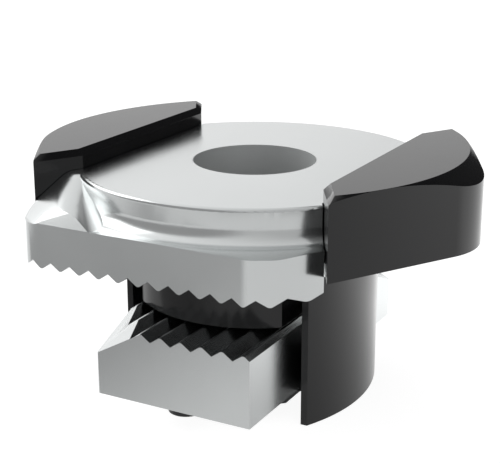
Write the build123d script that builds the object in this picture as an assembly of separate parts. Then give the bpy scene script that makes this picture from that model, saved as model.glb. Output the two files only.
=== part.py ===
from build123d import *
from math import cos, radians, sin, tan
import os

# A quick-fit slot nut for strut channel, standing on its two legs.
# Z is the bolt axis, X runs along the channel and Y across it.
# The whole object looks the same after half a turn about Z.

# Heights above the leg bottoms
nut_floor = 2.5
nut_thickness = 6.4
lip_gap = 5.5
plate_height = 6.9
boss_rise = 2.95
wing_rise = 1.7

# Bolt and thread
bolt_hole_radius = 5.6
thread_wall_radius = 4.25

# Teeth of the nut and of the plate
nut_tooth_pitch = 2.0
plate_tooth_pitch = 1.94
plate_tooth_shift = 0.74
tooth_flank_angle = 35
tooth_tip_radius = 0.35

# Slot nut
nut_half_width = 7.6
nut_half_length = 15.0
ramp_run_across = 4.6
ramp_run_along = 6.4
ramp_drop = 2.6
nut_corner_radius = 0.25
thread_mouth = 0.6

# Washer plate
boss_radius = 16.2
rim_width = 1.6
plate_wall = 3.5
boss_edge_radius = 0.35
boss_foot_radius = 1.4
rim_slope_angle = 2
corner_facet = 2.4
corner_radius = 2.2
end_radius = 2.85
ear_start = 0.1
ear_edge_radius = 2.0
ear_slope_angle = 36
ear_root = 0.5
ear_first_angle = -155
ear_last_angle = -108.5
ear_fall_angle = 24
ear_blend_radius = 3.0
ear_front_angle = 50

# Plastic holder
wing_gap = 11.7
wing_overhang = 1.47
wing_flare_angle = 30
wing_flare_run = 7.55
wing_apex_radius = 6.2
wing_edge_chamfer = 0.55
crown_angle = 30
bridge_thickness = 1.7
leg_half_width = 7.55
leg_thickness = 2.38
leg_arc_radius = 17.0
collar_radius = 10.9
collar_flat = 7.1
base_radius = 10.2
base_thickness = 0.9
base_arm_half_width = 4.5
tongue_inset = 0.9
tongue_half_width = 1.6

# Fits
plate_clearance = 0.1
bridge_clearance = 0.3
recess_clearance = 1.1
leg_clearance = 1.05
nut_clearance = 0.2
bore_step = 0.25
overrun = 2.0

# Heights worked out from the sizes above
nut_top = nut_floor + nut_thickness
tooth_tips = nut_top + lip_gap
plate_top = tooth_tips + plate_height
rim_level = plate_top - boss_rise
blank_floor = tooth_tips - overrun
plate_seat = plate_top - plate_wall
wing_top = plate_top + wing_rise
wing_bottom = plate_seat - bridge_thickness
wing_height = wing_top - wing_bottom

# Angles and slopes of the hexagon flats, the flared wing ends and the tooth flanks
half_turn = 180
quarter_turn = 90
flat_angle = radians(30)
flare_angle = radians(wing_flare_angle)
flank_angle = radians(tooth_flank_angle)
tip_run = tooth_tip_radius * sin(flank_angle)
tip_rise = tooth_tip_radius * (1 - cos(flank_angle))
upwards = (Align.CENTER, Align.CENTER, Align.MIN)

# Plan sizes worked out from the sizes above
plate_side = wing_gap - plate_clearance
plate_reach = boss_radius + rim_width
wing_reach = plate_reach + wing_overhang
wing_chord = plate_reach - wing_flare_run
plate_end = plate_side + wing_flare_run * tan(flare_angle)
leg_inner = nut_half_width + leg_clearance


def both_ways(piece):
    """The piece and its copy half a turn round the bolt axis."""
    return piece + Rot(0, 0, half_turn) * piece


def corner_near(outline, point):
    """The corner of a flat outline that lies nearest to a point."""
    return outline.vertices().sort_by_distance(point)[0]


def flare_point(side, reach):
    """Where the flared end of the near wing's inner side meets a hexagon flat."""
    start = side - wing_chord * tan(flare_angle)
    along = (reach - start * cos(flat_angle)) / (sin(flat_angle) + tan(flare_angle) * cos(flat_angle))
    return (start + along * tan(flare_angle), -along)


def tooth_row(first, count, pitch):
    """Section of the space below a row of teeth with round tips, which lie on the zero line."""
    tips = [first + pitch * step for step in range(count)]
    root = tip_rise + (pitch / 2 - tip_run) * tan(flank_angle)
    rounds = [ThreePointArc((x - tip_run, tip_rise), (x, 0), (x + tip_run, tip_rise)) for x in tips]
    flanks = [Polyline(before @ 1, (x + pitch / 2, root), after @ 0)
              for before, x, after in zip(rounds, tips, rounds[1:])]
    below = Polyline(rounds[-1] @ 1, (tips[-1] + tip_run, -2 * overrun), (first - tip_run, -2 * overrun),
                     rounds[0] @ 0)
    return Plane.XZ * make_face([*rounds, *flanks, below])


def slot_nut():
    """Steel bar nut: toothed top, two ramped corners and a threaded hole."""
    plan = Rectangle(2 * nut_half_width, 2 * nut_half_length)
    ramped = [corner_near(plan, (way * nut_half_width, way * nut_half_length)) for way in (-1, 1)]
    plan = fillet(ramped, nut_corner_radius)
    body = Pos(0, 0, nut_floor) * extrude(plan, amount=nut_thickness + overrun)

    count = 2 * int(nut_half_width / nut_tooth_pitch + 2)
    row = tooth_row(-nut_tooth_pitch * (count - 1) / 2, count, nut_tooth_pitch)
    row = extrude(row, amount=nut_half_length + overrun, both=True)
    body -= Pos(0, 0, nut_top) * Rot(half_turn, 0, 0) * row

    corner = Vector(-nut_half_width, -nut_half_length, nut_top - ramp_drop)
    across = Vector(ramp_run_across, 0, ramp_drop)
    along = Vector(0, ramp_run_along, ramp_drop)
    ramp = Plane(origin=corner, x_dir=across, z_dir=across.cross(along))
    for turn in (0, half_turn):
        body = split(Rot(0, 0, turn) * body, bisect_by=ramp, keep=Keep.BOTTOM)

    body -= Pos(0, 0, nut_floor - overrun) * Cylinder(
        thread_wall_radius, nut_thickness + 2 * overrun, align=upwards)
    body -= Pos(0, 0, nut_floor) * Cone(
        thread_wall_radius + thread_mouth, thread_wall_radius, thread_mouth, align=upwards)
    return body


def plate_outline():
    """Plan of the plate: hexagon flats, two long ends, and sides that follow the wings."""
    facet_cut = corner_facet / (2 * cos(flat_angle))
    facet_middle = plate_reach * tan(flat_angle)
    facet_start = (facet_middle - facet_cut, -plate_reach)
    facet_end = (facet_middle + facet_cut * sin(flat_angle), -plate_reach + facet_cut * cos(flat_angle))
    end_corner = (-plate_end, -plate_reach)
    half = [(-plate_side, -wing_chord), end_corner, facet_start, facet_end,
            flare_point(plate_side, plate_reach), (plate_side, -wing_chord)]
    outline = make_face(Polyline(*half, *[(-x, -y) for x, y in half], close=True))
    for point, radius in ((facet_start, corner_radius), (facet_end, corner_radius), (end_corner, end_radius)):
        turned = (-point[0], -point[1])
        outline = fillet([corner_near(outline, point), corner_near(outline, turned)], radius)
    return outline


def boss_section():
    """Half section of the round boss and of the rim that slopes away from it."""
    rim_start = boss_radius + boss_foot_radius
    rim_run = plate_reach + plate_end - rim_start
    rim_end = rim_level - rim_run * tan(radians(rim_slope_angle))
    edge = boss_radius - boss_edge_radius
    top = Polyline((0, blank_floor), (0, plate_top), (edge, plate_top))
    crown = RadiusArc((edge, plate_top), (boss_radius, plate_top - boss_edge_radius), boss_edge_radius)
    wall = Line((boss_radius, plate_top - boss_edge_radius), (boss_radius, rim_level + boss_foot_radius))
    foot = RadiusArc((boss_radius, rim_level + boss_foot_radius), (rim_start, rim_level), -boss_foot_radius)
    rim = Polyline((rim_start, rim_level), (rim_start + rim_run, rim_end),
                   (rim_start + rim_run, blank_floor), (0, blank_floor))
    return Plane.XZ * make_face([top, crown, wall, foot, rim])


def ear_section():
    """Half section of a cone about the bolt axis, which falls from the boss with a rounded edge."""
    slope = radians(ear_slope_angle)
    edge_start = boss_radius + ear_start
    edge_end = edge_start + ear_edge_radius * sin(slope)
    edge_level = plate_top - ear_edge_radius * (1 - cos(slope))
    low = rim_level - ear_root
    foot = edge_end + (edge_level - low) / tan(slope)
    top = Polyline((0, low), (0, plate_top), (edge_start, plate_top))
    edge = RadiusArc((edge_start, plate_top), (edge_end, edge_level), ear_edge_radius)
    slope_line = Polyline((edge_end, edge_level), (foot, low), (0, low))
    return Plane.XZ * make_face([top, edge, slope_line])


def ear():
    """Slope from the boss to the long end of the rim, which sinks into the rim at its side and front."""
    sweep = ear_last_angle - ear_first_angle
    cone = Rot(0, 0, ear_first_angle) * revolve(ear_section(), Axis.Z, revolution_arc=sweep)
    along = Vector(1, 0, 0).rotate(Axis.Z, ear_last_angle)
    upright = Vector(0, 0, 1)
    fall = Plane((0, 0, rim_level), along, upright.rotate(Axis((0, 0, 0), along), -ear_fall_angle))
    front = Plane((0, -plate_reach, rim_level), (1, 0, 0), upright.rotate(Axis.X, ear_front_angle))
    cone = split(cone, bisect_by=fall, keep=Keep.BOTTOM)
    ridge = [edge for edge in cone.faces().filter_by(fall)[0].edges() if edge.geom_type != GeomType.LINE]
    cone = fillet(ridge, ear_blend_radius)
    return split(cone, bisect_by=front, keep=Keep.BOTTOM)


def washer_plate():
    """Steel washer plate: round boss on a toothed rim, hollow below."""
    prism = Pos(0, 0, blank_floor) * extrude(plate_outline(), amount=plate_height + overrun)
    body = prism & revolve(boss_section(), Axis.Z)
    body += prism & both_ways(ear())
    hollow_floor = blank_floor - overrun
    hollow = plate_seat - hollow_floor
    body -= Pos(0, 0, hollow_floor) * Cylinder(bolt_hole_radius, hollow + plate_wall + overrun, align=upwards)
    body -= Pos(0, 0, hollow_floor) * Cylinder(
        collar_radius + recess_clearance, hollow, align=upwards)
    body -= Pos(0, 0, hollow_floor) * Box(
        2 * (plate_end + overrun), 2 * (leg_half_width + bridge_clearance), hollow, align=upwards)

    side_count = int(plate_end / plate_tooth_pitch) + 1
    first_tooth = plate_tooth_shift - plate_tooth_pitch * side_count
    row = tooth_row(first_tooth, 2 * side_count + 1, plate_tooth_pitch)
    return body - both_ways(Pos(0, 0, tooth_tips) * extrude(row, amount=plate_reach + overrun))


def wing():
    """One grip wing: part of a hexagon, crowned like a bolt head."""
    tip = flare_point(wing_gap, wing_reach)
    apex = (wing_reach / cos(flat_angle), 0)
    plan = make_face(Polyline((wing_gap, -wing_chord), tip, apex, (tip[0], -tip[1]), (wing_gap, wing_chord),
                              close=True))
    plan = fillet(corner_near(plan, apex), wing_apex_radius)
    body = Pos(0, 0, wing_bottom) * extrude(plan, amount=wing_height)
    inner_edges = body.edges().group_by(Axis.Z)[-1].sort_by(Axis.X)[:3]
    body = chamfer(inner_edges, wing_edge_chamfer)
    crown_run = wing_height / tan(radians(crown_angle))
    return body & Pos(0, 0, wing_bottom) * Cone(wing_reach + crown_run, wing_reach, wing_height, align=upwards)


def leg():
    """One leg: a flat towards the nut and a round back."""
    back = Pos(leg_inner + leg_thickness - leg_arc_radius, 0) * Circle(leg_arc_radius)
    front = Pos(leg_inner, 0) * Rectangle(leg_thickness, 2 * leg_half_width, align=(Align.MIN, Align.CENTER))
    return extrude(back & front, amount=plate_seat)


def nut_holder():
    """Plastic holder: two wings on a bridge, two legs, a collar, and a base under the nut."""
    strip = Rectangle(2 * collar_flat, 2 * collar_radius)
    collar_level = nut_top + nut_clearance
    collar = Pos(0, 0, collar_level) * extrude(
        Circle(collar_radius) & strip, amount=plate_seat - collar_level)
    bridge = Pos(0, 0, wing_bottom) * Box(
        2 * (wing_gap + leg_thickness), 2 * leg_half_width, plate_seat - wing_bottom, align=upwards)

    tongue_reach = nut_half_length - tongue_inset
    tongue = SlotCenterToCenter(
        2 * (tongue_reach - tongue_half_width), 2 * tongue_half_width, rotation=quarter_turn)
    arm = Rectangle(2 * leg_inner + leg_thickness, 2 * base_arm_half_width)
    base = (Circle(base_radius) & strip) + tongue + arm
    base = Pos(0, 0, nut_floor - base_thickness) * extrude(base, amount=base_thickness)

    body = both_ways(wing()) + both_ways(leg()) + bridge + collar + base
    return body - Cylinder(bolt_hole_radius + bore_step, 2 * wing_top)


os.makedirs("parts", exist_ok=True)
export_step(washer_plate(), "parts/washer_plate.step")
export_step(nut_holder(), "parts/nut_holder.step")
export_step(slot_nut(), "parts/slot_nut.step")
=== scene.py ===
import math

import bpy
from mathutils import Matrix, Vector


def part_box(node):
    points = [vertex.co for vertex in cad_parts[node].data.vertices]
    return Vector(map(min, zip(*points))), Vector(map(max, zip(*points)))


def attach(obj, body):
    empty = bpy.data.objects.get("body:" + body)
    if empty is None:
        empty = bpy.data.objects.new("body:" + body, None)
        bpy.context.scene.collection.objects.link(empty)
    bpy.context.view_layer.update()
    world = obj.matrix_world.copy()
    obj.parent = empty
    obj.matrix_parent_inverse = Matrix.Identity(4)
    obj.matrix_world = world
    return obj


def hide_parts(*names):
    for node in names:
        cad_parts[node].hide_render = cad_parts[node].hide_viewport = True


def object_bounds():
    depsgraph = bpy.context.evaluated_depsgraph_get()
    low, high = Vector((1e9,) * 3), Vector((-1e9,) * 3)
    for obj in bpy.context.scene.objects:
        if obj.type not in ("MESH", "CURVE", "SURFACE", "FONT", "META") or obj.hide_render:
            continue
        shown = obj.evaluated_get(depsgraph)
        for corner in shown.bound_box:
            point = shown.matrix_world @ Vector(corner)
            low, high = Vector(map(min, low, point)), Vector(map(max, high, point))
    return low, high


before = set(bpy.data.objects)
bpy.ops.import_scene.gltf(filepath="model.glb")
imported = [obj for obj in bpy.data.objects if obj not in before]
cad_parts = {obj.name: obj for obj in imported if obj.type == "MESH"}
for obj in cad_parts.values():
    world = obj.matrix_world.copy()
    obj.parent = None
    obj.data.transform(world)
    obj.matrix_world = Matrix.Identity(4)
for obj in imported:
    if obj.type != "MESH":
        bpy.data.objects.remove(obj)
cad_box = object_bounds()


# Nut holder: one glossy black injection moulding that carries the other two pieces.
# Two crowned grip wings stand on a bridge; below it hang a collar, two legs and a base.
# The nut is snapped in between collar and base, and the plate lies on the bridge.

mm = 0.001
holder_edge_radius = 0.14 * mm
edge_segments = 3
merge_distance = 0.002 * mm
grain_depth = 0.05 * mm
flat_tolerance = math.radians(0.2)
sharp_angle = math.radians(28)
plastic_deep_black = (0.006, 0.006, 0.007, 1)
plastic_pale_black = (0.012, 0.012, 0.013, 1)
plastic_roughness = (0.10, 0.20)
plastic_ior = 1.5
plastic_flow_scale = 120
plastic_grain_scale = 2600
plastic_grain_strength = 0.02


def merged_copy(node, name):
    """A copy of a CAD node, with its triangles joined and its flat faces made whole."""
    bpy.ops.object.select_all(action="DESELECT")
    piece = bpy.data.objects.new(name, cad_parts[node].data.copy())
    piece.data.name = name
    bpy.context.scene.collection.objects.link(piece)
    bpy.context.view_layer.objects.active = piece
    piece.select_set(True)
    bpy.ops.mesh.customdata_custom_splitnormals_clear()
    bpy.ops.object.mode_set(mode="EDIT")
    bpy.ops.mesh.select_all(action="SELECT")
    bpy.ops.mesh.remove_doubles(threshold=merge_distance)
    bpy.ops.mesh.dissolve_limited(angle_limit=flat_tolerance)
    bpy.ops.object.mode_set(mode="OBJECT")
    return piece


def apply_modifier(piece, kind, **settings):
    """Adds a modifier with these settings to a piece and applies it."""
    bpy.ops.object.select_all(action="DESELECT")
    bpy.context.view_layer.objects.active = piece
    piece.select_set(True)
    modifier = piece.modifiers.new(kind.lower(), kind)
    for key, value in settings.items():
        setattr(modifier, key, value)
    bpy.ops.object.modifier_apply(modifier=modifier.name)


def rounded(piece, radius, angle):
    """Rounds the sharp edges of a piece and shades the rest smooth."""
    apply_modifier(piece, "BEVEL", width=radius, segments=edge_segments, limit_method="ANGLE",
                   angle_limit=angle, miter_outer="MITER_ARC")
    bpy.ops.object.shade_smooth_by_angle(angle=angle)


def link_sockets(tree, *pairs):
    """Joins pairs of sockets in a node tree."""
    for output, target in pairs:
        tree.links.new(output, target)


def map_range(tree, to_range, from_range=(0, 1)):
    """A node that carries one range of values over to another."""
    node = tree.nodes.new("ShaderNodeMapRange")
    node.inputs["From Min"].default_value, node.inputs["From Max"].default_value = from_range
    node.inputs["To Min"].default_value, node.inputs["To Max"].default_value = to_range
    return node


holder = merged_copy("nut_holder", "holder_moulding")
rounded(holder, holder_edge_radius, sharp_angle)
apply_modifier(holder, "WEIGHTED_NORMAL", keep_sharp=True)

black_plastic = bpy.data.materials.new("moulded_black_plastic")
black_plastic.use_nodes = True
tree = black_plastic.node_tree
shader = tree.nodes["Principled BSDF"]
shader.inputs["IOR"].default_value = plastic_ior
place = tree.nodes.new("ShaderNodeTexCoord")
flow = tree.nodes.new("ShaderNodeTexNoise")
flow.inputs["Scale"].default_value = plastic_flow_scale
flow.inputs["Detail"].default_value = 4
tint = tree.nodes.new("ShaderNodeValToRGB")
tint.color_ramp.elements[0].color = plastic_deep_black
tint.color_ramp.elements[1].color = plastic_pale_black
gloss = map_range(tree, plastic_roughness)
grain = tree.nodes.new("ShaderNodeTexNoise")
grain.inputs["Scale"].default_value = plastic_grain_scale
grain.inputs["Detail"].default_value = 2
bump = tree.nodes.new("ShaderNodeBump")
bump.inputs["Strength"].default_value = plastic_grain_strength
bump.inputs["Distance"].default_value = grain_depth
link_sockets(
    tree,
    (place.outputs["Object"], flow.inputs["Vector"]),
    (place.outputs["Object"], grain.inputs["Vector"]),
    (flow.outputs["Fac"], tint.inputs["Fac"]),
    (tint.outputs["Color"], shader.inputs["Base Color"]),
    (flow.outputs["Fac"], gloss.inputs["Value"]),
    (gloss.outputs["Result"], shader.inputs["Roughness"]),
    (grain.outputs["Fac"], bump.inputs["Height"]),
    (bump.outputs["Normal"], shader.inputs["Normal"]),
)
holder.data.materials.clear()
holder.data.materials.append(black_plastic)
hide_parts("nut_holder")
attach(holder, "root")


# Slot nut: a cold-formed steel bar with ridges on its top and two ramped corners, zinc plated.
# A coarse metric thread is tapped through its middle.
# It is snapped into the holder and lies on the holder's base.

nut_edge_radius = 0.06 * mm
edge_angle = math.radians(40)
thread_pitch = 1.5 * mm
thread_wall_radius = 4.25 * mm
thread_depth = 0.75 * mm
thread_crest = 0.25 * mm
thread_steps = 48
cut_overrun = 0.2 * mm
nut_low, nut_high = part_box("slot_nut")
zinc_grey = (0.72, 0.74, 0.74, 1)
zinc_patch_scale = 150.0
zinc_patch_shade = (0.95, 1.05)
zinc_patch_gloss = (0.8, 1.2)
zinc_grain_scale = 3000.0
nut_roughness = 0.25
nut_grain_strength = 0.03
bore_roughness = 0.5
bore_metallic = 0.35


def cut_away(piece, cutter):
    """Cuts the shape of a cutter out of a piece and throws the cutter away."""
    apply_modifier(piece, "BOOLEAN", operation="DIFFERENCE", solver="EXACT", object=cutter)
    bpy.data.objects.remove(cutter)


def thread_tap():
    """The helical groove of the thread, from below the nut to above it."""
    inner = thread_wall_radius - cut_overrun
    outer = thread_wall_radius + thread_depth
    half_crest = thread_crest / 2
    half_root = (thread_pitch - thread_crest) / 2
    start = nut_low.z - thread_pitch
    profile = [(inner, 0, start - half_root), (outer, 0, start - half_crest),
               (outer, 0, start + half_crest), (inner, 0, start + half_root)]
    bpy.ops.object.select_all(action="DESELECT")
    mesh = bpy.data.meshes.new("thread_tap")
    mesh.from_pydata(profile, [], [list(range(len(profile)))])
    tap = bpy.data.objects.new("thread_tap", mesh)
    bpy.context.scene.collection.objects.link(tap)
    turns = math.ceil((nut_high.z - nut_low.z) / thread_pitch) + 2
    apply_modifier(tap, "SCREW", axis="Z", screw_offset=thread_pitch, iterations=turns,
                   steps=thread_steps, use_merge_vertices=True, use_normal_calculate=True)
    bpy.ops.object.mode_set(mode="EDIT")
    bpy.ops.mesh.select_mode(type="EDGE")
    bpy.ops.mesh.select_all(action="DESELECT")
    bpy.ops.mesh.select_non_manifold()
    bpy.ops.mesh.edge_face_add()
    bpy.ops.mesh.select_all(action="SELECT")
    bpy.ops.mesh.normals_make_consistent(inside=False)
    bpy.ops.object.mode_set(mode="OBJECT")
    return tap


def maths(tree, operation):
    """A node for one sum on plain values."""
    node = tree.nodes.new("ShaderNodeMath")
    node.operation = operation
    return node


def vector_maths(tree, operation):
    """A node for one sum on vectors."""
    node = tree.nodes.new("ShaderNodeVectorMath")
    node.operation = operation
    return node


def zinc_plating():
    """Node group for zinc: patches in colour and gloss, a satin grain, and a duller finish in the bore."""
    group = bpy.data.node_groups.new("zinc_plating", "ShaderNodeTree")
    face = group.interface
    for name, kind, value in (("Colour", "NodeSocketColor", zinc_grey),
                              ("Roughness", "NodeSocketFloat", nut_roughness),
                              ("Patch Scale", "NodeSocketFloat", zinc_patch_scale),
                              ("Grain Scale", "NodeSocketFloat", zinc_grain_scale),
                              ("Bore Radius", "NodeSocketFloat", 0.0)):
        socket = face.new_socket(name, in_out="INPUT", socket_type=kind)
        socket.default_value = value
    for name, kind in (("Colour", "NodeSocketColor"), ("Roughness", "NodeSocketFloat"),
                       ("Metallic", "NodeSocketFloat"), ("Height", "NodeSocketFloat")):
        face.new_socket(name, in_out="OUTPUT", socket_type=kind)
    start = group.nodes.new("NodeGroupInput")
    end = group.nodes.new("NodeGroupOutput")
    place = group.nodes.new("ShaderNodeTexCoord")
    patches = group.nodes.new("ShaderNodeTexNoise")
    patches.inputs["Detail"].default_value = 5
    patches.inputs["Roughness"].default_value = 0.6
    grain = group.nodes.new("ShaderNodeTexNoise")
    grain.inputs["Detail"].default_value = 2
    shade = map_range(group, zinc_patch_shade)
    colour = vector_maths(group, "SCALE")
    spread = map_range(group, zinc_patch_gloss)
    rough = maths(group, "MULTIPLY")
    flat_place = vector_maths(group, "MULTIPLY")
    flat_place.inputs[1].default_value = (1, 1, 0)
    from_axis = vector_maths(group, "LENGTH")
    in_bore = maths(group, "LESS_THAN")
    dull = group.nodes.new("ShaderNodeMix")
    dull.inputs["B"].default_value = bore_roughness
    metal = map_range(group, (1, bore_metallic))
    link_sockets(
        group,
        (place.outputs["Object"], patches.inputs["Vector"]),
        (place.outputs["Object"], grain.inputs["Vector"]),
        (start.outputs["Patch Scale"], patches.inputs["Scale"]),
        (start.outputs["Grain Scale"], grain.inputs["Scale"]),
        (patches.outputs["Fac"], shade.inputs["Value"]),
        (start.outputs["Colour"], colour.inputs["Vector"]),
        (shade.outputs["Result"], colour.inputs["Scale"]),
        (colour.outputs["Vector"], end.inputs["Colour"]),
        (patches.outputs["Fac"], spread.inputs["Value"]),
        (start.outputs["Roughness"], rough.inputs[0]),
        (spread.outputs["Result"], rough.inputs[1]),
        (place.outputs["Object"], flat_place.inputs[0]),
        (flat_place.outputs["Vector"], from_axis.inputs[0]),
        (from_axis.outputs["Value"], in_bore.inputs[0]),
        (start.outputs["Bore Radius"], in_bore.inputs[1]),
        (in_bore.outputs["Value"], dull.inputs["Factor"]),
        (rough.outputs["Value"], dull.inputs["A"]),
        (dull.outputs["Result"], end.inputs["Roughness"]),
        (in_bore.outputs["Value"], metal.inputs["Value"]),
        (metal.outputs["Result"], end.inputs["Metallic"]),
        (grain.outputs["Fac"], end.inputs["Height"]),
    )
    return group


def zinc_material(name, roughness, grain_strength, bore_radius):
    """Zinc-plated steel of a given gloss, duller inside a bore about the Z axis."""
    material = bpy.data.materials.new(name)
    material.use_nodes = True
    tree = material.node_tree
    shader = tree.nodes["Principled BSDF"]
    plating = tree.nodes.new("ShaderNodeGroup")
    plating.node_tree = bpy.data.node_groups.get("zinc_plating") or zinc_plating()
    plating.inputs["Colour"].default_value = zinc_grey
    plating.inputs["Roughness"].default_value = roughness
    plating.inputs["Bore Radius"].default_value = bore_radius
    bump = tree.nodes.new("ShaderNodeBump")
    bump.inputs["Strength"].default_value = grain_strength
    bump.inputs["Distance"].default_value = grain_depth
    link_sockets(
        tree,
        (plating.outputs["Colour"], shader.inputs["Base Color"]),
        (plating.outputs["Roughness"], shader.inputs["Roughness"]),
        (plating.outputs["Metallic"], shader.inputs["Metallic"]),
        (plating.outputs["Height"], bump.inputs["Height"]),
        (bump.outputs["Normal"], shader.inputs["Normal"]),
    )
    return material


nut = merged_copy("slot_nut", "bar_nut")
rounded(nut, nut_edge_radius, edge_angle)
cut_away(nut, thread_tap())
bpy.ops.object.shade_smooth_by_angle(angle=sharp_angle)
apply_modifier(nut, "WEIGHTED_NORMAL", keep_sharp=True)
nut.data.materials.clear()
nut.data.materials.append(
    zinc_material("zinc_on_nut", nut_roughness, nut_grain_strength, thread_wall_radius + thread_depth))
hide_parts("slot_nut")
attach(nut, "root")


# Washer plate: pressed steel, bright zinc plated, with a round boss, a bolt hole and a toothed rim.
# Two long ends of the rim rise in ears to the top of the boss, beside the wings.
# It lies loose on the holder's bridge, between the wings.

bolt_hole_radius = 5.6 * mm
bore_margin = 0.08 * mm
plate_roughness = 0.2
plate_grain_strength = 0.02

plate = merged_copy("washer_plate", "pressed_plate")
bpy.ops.object.shade_smooth_by_angle(angle=sharp_angle)
plate.data.materials.clear()
plate.data.materials.append(
    zinc_material("zinc_on_plate", plate_roughness, plate_grain_strength, bolt_hole_radius + bore_margin))
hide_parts("washer_plate")
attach(plate, "root")


# Studio: a white floor that keeps the shadow, and a white surround that is brightest at the left.
# A dark flag behind, a grey flag in front, a soft box at the left and a shaded card on the floor
# are what the bright metal and the glossy plastic mirror.

floor_size = 3
floor_white = 0.92
floor_diffuse = (0.35, 0.35, 0.35, 1)
mirrored_floor = (0.5, 1.15)
mirrored_floor_y = (-10 * mm, 25 * mm)
surround_level = (1.35, 0.65)
surround_x = (-0.9, 0.6)
dark_flag = ((0.42, 0.78, 0.46), (0.72, 0.80), 0.05)
grey_flag = ((-0.45, -0.87, 0.15), (0.60, 0.80), 0.42)
soft_box_place = Vector((-280, -30, 220)) * mm
soft_box_width = 260 * mm
soft_box_height = 200 * mm
soft_box_radiance = 1.3
card_size = 75 * mm
card_place = Vector((-30, -55, 0.4)) * mm
card_shade = (0.37, 0.68)
card_shade_x = (-16 * mm, 2 * mm)

scene = bpy.context.scene
scene.view_settings.view_transform = "Standard"

bpy.ops.object.select_all(action="DESELECT")
bpy.ops.mesh.primitive_plane_add(size=floor_size)
floor = bpy.context.object
floor.name = "floor"
white_floor = bpy.data.materials.new("white_floor")
white_floor.use_nodes = True
tree = white_floor.node_tree
tree.nodes.clear()
rays = tree.nodes.new("ShaderNodeLightPath")
mirror_rays = maths(tree, "MAXIMUM")
shown_rays = maths(tree, "MAXIMUM")
place = tree.nodes.new("ShaderNodeTexCoord")
axes = tree.nodes.new("ShaderNodeSeparateXYZ")
far_white = map_range(tree, mirrored_floor, mirrored_floor_y)
tone = tree.nodes.new("ShaderNodeMix")
tone.inputs["A"].default_value = floor_white
level = maths(tree, "MULTIPLY")
glow = tree.nodes.new("ShaderNodeEmission")
matt = tree.nodes.new("ShaderNodeBsdfDiffuse")
matt.inputs["Color"].default_value = floor_diffuse
both = tree.nodes.new("ShaderNodeAddShader")
out = tree.nodes.new("ShaderNodeOutputMaterial")
link_sockets(
    tree,
    (rays.outputs["Is Glossy Ray"], mirror_rays.inputs[0]),
    (rays.outputs["Is Transmission Ray"], mirror_rays.inputs[1]),
    (rays.outputs["Is Camera Ray"], shown_rays.inputs[0]),
    (mirror_rays.outputs["Value"], shown_rays.inputs[1]),
    (place.outputs["Object"], axes.inputs["Vector"]),
    (axes.outputs["Y"], far_white.inputs["Value"]),
    (mirror_rays.outputs["Value"], tone.inputs["Factor"]),
    (far_white.outputs["Result"], tone.inputs["B"]),
    (shown_rays.outputs["Value"], level.inputs[0]),
    (tone.outputs["Result"], level.inputs[1]),
    (level.outputs["Value"], glow.inputs["Strength"]),
    (glow.outputs["Emission"], both.inputs[0]),
    (matt.outputs["BSDF"], both.inputs[1]),
    (both.outputs["Shader"], out.inputs["Surface"]),
)
floor.data.materials.append(white_floor)

world = bpy.data.worlds.new("studio")
scene.world = world
world.use_nodes = True
tree = world.node_tree
tree.nodes.clear()
direction = tree.nodes.new("ShaderNodeTexCoord")
axes = tree.nodes.new("ShaderNodeSeparateXYZ")
surround = map_range(tree, surround_level, surround_x)
link_sockets(tree, (direction.outputs["Generated"], axes.inputs["Vector"]),
             (axes.outputs["X"], surround.inputs["Value"]))
brightness = surround.outputs["Result"]
for aim, edge, flag_level in (dark_flag, grey_flag):
    towards = vector_maths(tree, "DOT_PRODUCT")
    towards.inputs[1].default_value = Vector(aim).normalized()
    fade = map_range(tree, (0, 1), edge)
    flag = tree.nodes.new("ShaderNodeMix")
    flag.inputs["B"].default_value = flag_level
    link_sockets(tree, (direction.outputs["Generated"], towards.inputs[0]),
                 (towards.outputs["Value"], fade.inputs["Value"]),
                 (fade.outputs["Result"], flag.inputs["Factor"]), (brightness, flag.inputs["A"]))
    brightness = flag.outputs["Result"]
rays = tree.nodes.new("ShaderNodeLightPath")
white = maths(tree, "MAXIMUM")
sky = tree.nodes.new("ShaderNodeBackground")
out = tree.nodes.new("ShaderNodeOutputWorld")
link_sockets(
    tree,
    (brightness, white.inputs[0]),
    (rays.outputs["Is Camera Ray"], white.inputs[1]),
    (white.outputs["Value"], sky.inputs["Strength"]),
    (sky.outputs["Background"], out.inputs["Surface"]),
)

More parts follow.
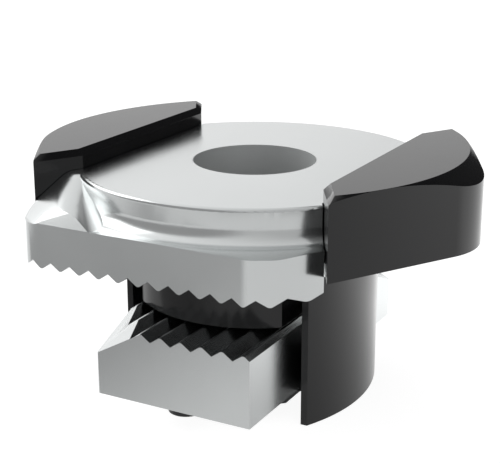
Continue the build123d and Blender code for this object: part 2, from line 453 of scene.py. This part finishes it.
light = bpy.data.lights.new("left_soft_box", "AREA")
light.shape = "RECTANGLE"
light.size = soft_box_width
light.size_y = soft_box_height
light.energy = soft_box_radiance * math.pi * soft_box_width * soft_box_height
soft_box = bpy.data.objects.new("left_soft_box", light)
scene.collection.objects.link(soft_box)
soft_box.location = soft_box_place
aim = Vector((0, 0, cad_box[1].z / 2)) - soft_box_place
soft_box.rotation_euler = aim.to_track_quat("-Z", "Y").to_euler()

bpy.ops.object.select_all(action="DESELECT")
bpy.ops.mesh.primitive_plane_add(size=card_size, location=card_place)
card = bpy.context.object
card.name = "grey_card"
bpy.ops.object.transform_apply(location=True, rotation=True, scale=True)
grey_card = bpy.data.materials.new("grey_card")
grey_card.use_nodes = True
tree = grey_card.node_tree
tree.nodes.clear()
place = tree.nodes.new("ShaderNodeTexCoord")
axes = tree.nodes.new("ShaderNodeSeparateXYZ")
shade = map_range(tree, card_shade, card_shade_x)
glow = tree.nodes.new("ShaderNodeEmission")
out = tree.nodes.new("ShaderNodeOutputMaterial")
link_sockets(
    tree,
    (place.outputs["Object"], axes.inputs["Vector"]),
    (axes.outputs["X"], shade.inputs["Value"]),
    (shade.outputs["Result"], glow.inputs["Strength"]),
    (glow.outputs["Emission"], out.inputs["Surface"]),
)
card.data.materials.append(grey_card)
card.visible_camera = False
card.visible_diffuse = False
card.visible_shadow = False


# Camera: a long lens in front of the object, a little to the right and above, as in the photograph.
# It is placed from the middle of the plate's top.

camera_turn = math.radians(28.456)
camera_lift = math.radians(17.433)
camera_distance = 112.27 * mm
camera_right = -0.4255 * mm
camera_up = -6.597 * mm
camera_lens = 88.8
camera_sensor = 36
camera_near = 5 * mm

back = Vector((math.sin(camera_turn) * math.cos(camera_lift),
               -math.cos(camera_turn) * math.cos(camera_lift),
               math.sin(camera_lift)))
right = Vector((math.cos(camera_turn), math.sin(camera_turn), 0))
up = back.cross(right)
target = Vector((0, 0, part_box("washer_plate")[1].z))
camera_data = bpy.data.cameras.new("camera")
camera_data.sensor_width = camera_sensor
camera_data.lens = camera_lens
camera_data.clip_start = camera_near
camera = bpy.data.objects.new("camera", camera_data)
scene.collection.objects.link(camera)
turn = Matrix((right, up, back)).transposed().to_4x4()
camera.matrix_world = Matrix.Translation(
    target + back * camera_distance + right * camera_right + up * camera_up) @ turn
scene.camera = camera
